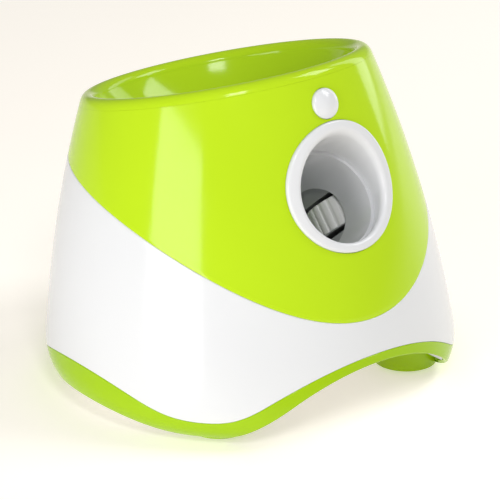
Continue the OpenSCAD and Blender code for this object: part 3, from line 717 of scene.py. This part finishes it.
def rib_tree(material):
    """Oval ribs along z, half sunk into a circle in the plane of x and y."""
    tree = bpy.data.node_groups.new("ribs_round_a_wheel", "GeometryNodeTree")
    tree.interface.new_socket("Geometry", in_out="OUTPUT", socket_type="NodeSocketGeometry")
    for name, kind in INPUTS.items():
        tree.interface.new_socket(name, in_out="INPUT", socket_type=kind)
    given = put(tree, "NodeGroupInput").outputs
    circle = put(tree, "GeometryNodeMeshCircle", {
        "Vertices": given["Count"], "Radius": given["Radius"]})
    profile = put(tree, "GeometryNodeCurvePrimitiveCircle", {
        "Resolution": RIB_SIDES, "Radius": 1.0})
    size = put(tree, "ShaderNodeCombineXYZ", {"X": given["Height"], "Y": given["Rib"], "Z": 1.0})
    oval_rib = put(tree, "GeometryNodeTransform", {
        "Geometry": profile.outputs["Curve"], "Scale": size.outputs["Vector"]})
    half = put(tree, "ShaderNodeMath", {0: given["Width"], 1: 0.5}, operation="MULTIPLY")
    less = put(tree, "ShaderNodeMath", {0: half.outputs[0], 1: -1.0}, operation="MULTIPLY")
    start = put(tree, "ShaderNodeCombineXYZ", {"Z": less.outputs[0]})
    end = put(tree, "ShaderNodeCombineXYZ", {"Z": half.outputs[0]})
    line = put(tree, "GeometryNodeCurvePrimitiveLine", {
        "Start": start.outputs["Vector"], "End": end.outputs["Vector"]})
    rib = put(tree, "GeometryNodeCurveToMesh", {
        "Curve": line.outputs["Curve"], "Profile Curve": oval_rib.outputs["Geometry"],
        "Fill Caps": True})
    place = put(tree, "GeometryNodeInputPosition")
    turn = put(tree, "FunctionNodeAlignRotationToVector", {
        "Vector": place.outputs["Position"]}, axis="X")
    set_out = put(tree, "GeometryNodeInstanceOnPoints", {
        "Points": circle.outputs["Mesh"], "Instance": rib.outputs["Mesh"],
        "Rotation": turn.outputs["Rotation"]})
    real = put(tree, "GeometryNodeRealizeInstances", {"Geometry": set_out.outputs["Instances"]})
    paint = put(tree, "GeometryNodeSetMaterial", {
        "Geometry": real.outputs["Geometry"], "Material": material})
    put(tree, "NodeGroupOutput", {"Geometry": paint.outputs["Geometry"]})
    return tree


# %% Run the tree
WHEEL_R, TREAD_W = 24.0, 16.0
RIBS, RIB_W, RIB_H = 24, 2.35, 0.75  # number, half width and half height
RIB_SHORT = 0.6  # a rib is this much shorter than the tread is wide


def grown(name, tree, **sizes):
    """Runs a tree with the given inputs, and returns its plain mesh."""
    seed = bpy.data.objects.new(name, bpy.data.meshes.new(name))
    bpy.context.scene.collection.objects.link(seed)
    modifier = seed.modifiers.new("grow", "NODES")
    modifier.node_group = tree
    for item in tree.interface.items_tree:
        if item.in_out == "INPUT" and item.name in sizes:
            modifier[item.identifier] = sizes[item.name]
    ready = seed.evaluated_get(bpy.context.evaluated_depsgraph_get())
    mesh = bpy.data.meshes.new_from_object(ready)
    bpy.data.objects.remove(seed)
    return mesh


ribs = grown("ribs", rib_tree(TREAD), Radius=(WHEEL_R - RIB_H) * MM,
             Width=(TREAD_W - RIB_SHORT) * MM, Rib=RIB_W * MM, Height=RIB_H * MM, Count=RIBS)
print("ribs:", len(ribs.vertices), "points")

# %% [markdown]
# ## The wheels in the barrel
# The ribs sit on a band with eased edges. A torus would be too round for it, so the
# band is turned as one profile, and both go to the wheel's axle, which stands square to
# the barrel.

# %% Places of the two wheels
WHEEL_X, WHEEL_AHEAD = 46.0, 32  # from the barrel's axis, and ahead of the spout's axis
to_seat = seat_mid - np.array(port_mid)
cross = math.cos(BARREL_TILT) * math.cos(TILT) + math.sin(BARREL_TILT) * math.sin(TILT)
rest_s = (to_seat[1] * math.cos(TILT) - to_seat[2] * math.sin(TILT)) / cross
wheel_s = rest_s - WHEEL_AHEAD


def wheel_frame(hand):
    """Centre and axes of the wheel at the left, -1, or at the right, 1."""
    centre = np.array(port_mid) - out_bore * wheel_s + np.array([hand * WHEEL_X, 0, 0])
    return centre, (1, 0, 0), tuple(-out_bore), bore_axes[1]


print("wheels", round(wheel_s, 2), "mm down the barrel")

# %% Seat the ribs on each wheel
TREAD_BORE, TREAD_R, TREAD_EASED = 21.0, 23.3, 22.9  # the band, and where its ease starts
TREAD_FLAT, TREAD_POINTS, TREAD_SHARP = 7.6, 144, 50  # half width before the ease
half_w = TREAD_W / 2
tyre = [(TREAD_BORE, -half_w), (TREAD_EASED, -half_w), (TREAD_R, -TREAD_FLAT),
        (TREAD_R, TREAD_FLAT), (TREAD_EASED, half_w), (TREAD_BORE, half_w)]
flat_co = np.empty(len(ribs.vertices) * 3)
ribs.vertices.foreach_get("co", flat_co)
rib_points = flat_co.reshape(-1, 3) / MM
rib_faces = [tuple(p.vertices) for p in ribs.polygons]
treads = {}
for hand, word in ((-1, "left"), (1, "right")):
    centre, *axes = wheel_frame(hand)
    rings = from_profile(tyre, lambda r, h: placed(disc(r, h, TREAD_POINTS), centre, *axes))
    points = np.vstack(rings + [placed(rib_points, centre, *axes)])
    faces = ring_faces(len(tyre), TREAD_POINTS)
    faces += [tuple(v + len(tyre) * TREAD_POINTS for v in f) for f in rib_faces]
    treads[word] = new_piece("tread_skin_" + word, points, faces, TREAD_SHARP)
print("treads:", [len(tread.data.polygons) for tread in treads.values()])

# %% [markdown]
# ## Rubber feet
# Four moulded pads lie under the corners, each with an eased rim and a shallow hollow
# in its sole, as pads are moulded. One profile is turned and set out four times.

# %% Turn the feet
FOOT_OUT, FOOT_TURN = 83, math.radians(50)  # from the middle, and from straight ahead
PAD_R, PAD_TALL, PAD_POINTS = 8.0, 4.0, 72
pad = rounded([(POLE, 0.5), (2.5, 0.5), (3.0, 0.0), (7.9, 0.0), (PAD_R, 0.9), (PAD_R, PAD_TALL),
               (POLE, PAD_TALL)], radii=[0.1, 0.1, 0.9, 0.05, 0.05], steps=5)
foot_at = [np.array([sx * FOOT_OUT * math.sin(FOOT_TURN),
                     LEAN * (FOOT - LEAN_BASE) + sy * FOOT_OUT * math.cos(FOOT_TURN) * DEPTH, 0])
           for sx, sy in ((1, -1), (-1, -1), (1, 1), (-1, 1))]
feet = []
for k, at in enumerate(foot_at, 1):
    rings = from_profile(pad, lambda r, h: disc(r, h, PAD_POINTS) + at)
    feet.append(from_rings("foot_skin_%d" % k, rings, closed=False))
print("feet:", [at.round(1).tolist() for at in foot_at])

# %% [markdown]
# ## Bosses over the feet
# Inside the base band a round boss holds each foot and its screw, and a web ties it to
# the wall. They could stay separate pieces, but on the real band they are one moulding,
# so they are joined to it, and then the pads and screws get their holes.

# %% Join the bosses to the band
ANY_WAY = ((1, 0, 0), (0, 1, 0), (0, 0, 1))
BOSS_R, BOSS_LOW, BOSS_HIGH = 16.5, 2, 14
WEB_LOW, WEB_HALF, WEB_STEPS = 4, 4.0, 12  # lowest height, half width, points on the wall


def web(name, at):
    """A flat web from a foot out to the middle of the wall."""
    a = np.full(WEB_STEPS, math.atan2(at[0], -at[1] / DEPTH))
    edge = on_wall(a, np.linspace(WEB_LOW, BOSS_HIGH, WEB_STEPS), WALL / 2)
    profile = np.vstack([edge, [at[0], at[1], BOSS_HIGH], [at[0], at[1], WEB_LOW]])
    across = np.array([-at[1], at[0], 0]) / math.hypot(at[0], at[1]) * WEB_HALF
    n = len(profile)
    sides = [(i, (i + 1) % n, n + (i + 1) % n, n + i) for i in range(n)]
    return new_piece(name, np.vstack([profile - across, profile + across]),
                     sides + [tuple(range(n)), tuple(range(n, 2 * n))])


for k, at in enumerate(foot_at, 1):
    cut(band, plug("boss_%d" % k, BOSS_R, BOSS_LOW, BOSS_HIGH, at, ANY_WAY, PAD_POINTS),
        web("web_%d" % k, at), way="UNION")
print("band with bosses:", len(band.data.polygons), "faces")

# %% Cut the holes for pads and screws
PAD_HOLE, SCREW_OFF = 8.05, 8.8  # the screw stands this far outwards of the pad, each way
HEAD_R, SCREW_R, SCREW_POINTS = 3.0, 1.6, 32
UNDER, OVER = -1, 15  # below the sole and above the boss
HEAD_TOP, SCREW_FROM = 4, 3
for k, at in enumerate(foot_at, 1):
    screw_at = at + np.array([math.copysign(SCREW_OFF, at[0]), -math.copysign(SCREW_OFF, at[1]), 0])
    cut(band, plug("pad_hole_%d" % k, PAD_HOLE, UNDER, PAD_TALL, at, ANY_WAY, PAD_POINTS),
        plug("head_hole_%d" % k, HEAD_R, UNDER, HEAD_TOP, screw_at, ANY_WAY, SCREW_POINTS),
        plug("screw_hole_%d" % k, SCREW_R, SCREW_FROM, OVER, screw_at, ANY_WAY, SCREW_POINTS))
print("band with its holes:", len(band.data.polygons), "faces")

# %% [markdown]
# ## Give every part its finish
# Each new piece takes the place of a CAD node, and every other node keeps its shape and
# gets a material of its own. The record names a finish for each node, so one table from
# finish to material paints them all.

# %% Ride, replace and paint
def dress(piece, body, material, slot, *nodes):
    piece.data.materials.clear()
    piece.data.materials.append(material)
    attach(piece, body)
    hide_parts(*nodes)


dress(upper, "case", LIME, "lime_plastic", "upper_shell")
dress(hopper, "case", LIME, "lime_plastic", "hopper")
dress(lower, "case", WHITE, "white_plastic", "lower_shell")
dress(band, "case", SHADED_BAND_LIME, "lime_plastic", "base_band")
dress(ring, "case", WHITE, "white_plastic", "port_ring")
dress(button, "button", WHITE, "white_plastic", "button_cap")
dress(rocker, "power_rocker", BLACK, "black_plastic", "rocker")
for word, piece in treads.items():
    dress(piece, "wheel_" + word, TREAD, "white_rubber", "wheel_tread_" + word)
for k, piece in enumerate(feet, 1):
    dress(piece, "case", RUBBER, "black_rubber", "foot_%d" % k)

SLOT_FINISH = {
    "lime_plastic": LIME, "white_plastic": WHITE, "grey_plastic": GREY, "black_plastic": BLACK,
    "black_rubber": RUBBER, "white_rubber": TREAD, "bright_steel": STEEL, "spring_plate": PLATE,
    "green_board": BOARD, "cell_wrap": FILM, "brass_pin": BRASS}
for entry in frame["record"]["subparts"]:
    node = frame["nodes"][entry["node"]]
    node.data.materials.clear()
    node.data.materials.append(SLOT_FINISH[entry["material_slot"]])

# %% [markdown]
# ## The floor and the air
# The photograph has a warm white floor that runs into the background. The floor glows a
# little, so that it stays white away from the lights, and a pale blue world fills the
# shadows.

# %% Floor and world
FLOOR_HALF = 6  # metres
FLOOR_GLOW, AIR_GLOW = 0.44, 0.26
corners = [(x * FLOOR_HALF, y * FLOOR_HALF, 0) for x, y in ((-1, -1), (1, -1), (1, 1), (-1, 1))]
floor_mesh = bpy.data.meshes.new("studio_floor")
floor_mesh.from_pydata(corners, [], [(0, 1, 2, 3)])
floor = bpy.data.objects.new("studio_floor", floor_mesh)
bpy.context.scene.collection.objects.link(floor)
paper, paper_tree = bare_material("warm_white_paper")
sheet = put(paper_tree, "ShaderNodeBsdfPrincipled", {
    "Base Color": linear("#EAE6DE"), "Roughness": 0.6, "Specular IOR Level": 0.2,
    "Emission Color": linear("#FFF7EC"), "Emission Strength": FLOOR_GLOW})
put(paper_tree, "ShaderNodeOutputMaterial", {"Surface": sheet.outputs["BSDF"]})
floor.data.materials.append(paper)

world = bpy.data.worlds.new("pale_room")
bpy.context.scene.world = world
world.use_nodes = True
world.node_tree.nodes.clear()
air = put(world.node_tree, "ShaderNodeBackground", {
    "Color": linear("#F8FBFF"), "Strength": AIR_GLOW})
put(world.node_tree, "ShaderNodeOutputWorld", {"Surface": air.outputs["Background"]})
print("floor:", 2 * FLOOR_HALF, "m wide")

# %% [markdown]
# ## The lights
# The mirror images of the lights are the long soft streaks on the glossy shells, so each
# light is a soft box whose place and size were chosen for its streak: a low wide one to
# the left, a narrow tall one to the right, a smaller one high at the front right, and a
# small one near the camera, and above it, that lights the port.

# %% Soft boxes
AIM = 0.09  # height of the place that the lights look at, in metres


def soft_box(name, bearing, distance, height, width, tall, power):
    """An area light at a bearing from the front, turned to the object."""
    light = bpy.data.lights.new(name, "AREA")
    light.shape, light.size, light.size_y, light.energy = "RECTANGLE", width, tall, power
    lamp = bpy.data.objects.new(name, light)
    b = math.radians(bearing)
    lamp.location = (math.sin(b) * distance, -math.cos(b) * distance, height)
    lamp.rotation_mode = "QUATERNION"
    lamp.rotation_quaternion = (Vector((0, 0, AIM)) - lamp.location).to_track_quat("-Z", "Y")
    bpy.context.scene.collection.objects.link(lamp)
    return lamp


lamps = [
    soft_box("left_soft_box", bearing=-76, distance=1.4, height=0.34,
             width=0.82, tall=0.66, power=11.5),
    soft_box("right_soft_box", bearing=90, distance=1.4, height=0.65,
             width=0.42, tall=1.2, power=4.0),
    soft_box("overhead_soft_box", bearing=56, distance=1.0, height=1.15,
             width=0.5, tall=0.6, power=8),
    soft_box("front_soft_box", bearing=-33, distance=1.25, height=1.28,
             width=0.4, tall=0.4, power=7.6)]
print("lights:", [(lamp.name, lamp.data.energy) for lamp in lamps])

# %% [markdown]
# ## The camera
# The viewpoint was fitted to the photograph: the camera stands 40 degrees round to the
# left of the port, far off and 23 degrees above, with a long lens. The Standard view
# transform keeps the colours as bright as they were picked.

# %% Camera
BEARING, PITCH, PAN = math.radians(-39.84), 22.61, 0.0555
AWAY, HIGH, MIDDLE_Y = 1.6812, 0.7655, -0.00343  # metres, round a point near the middle
LENS, SENSOR = 251.8, 36.0
lens = bpy.data.cameras.new("studio_camera")
lens.lens, lens.sensor_width = LENS, SENSOR
camera = bpy.data.objects.new("studio_camera", lens)
camera.location = (math.sin(BEARING) * AWAY, -math.cos(BEARING) * AWAY + MIDDLE_Y, HIGH)
camera.rotation_euler = (math.radians(90 - PITCH), 0, BEARING + math.radians(PAN))
bpy.context.scene.collection.objects.link(camera)
bpy.context.scene.camera = camera
bpy.context.scene.view_settings.view_transform = "Standard"
print("camera at", [round(c, 3) for c in camera.location])
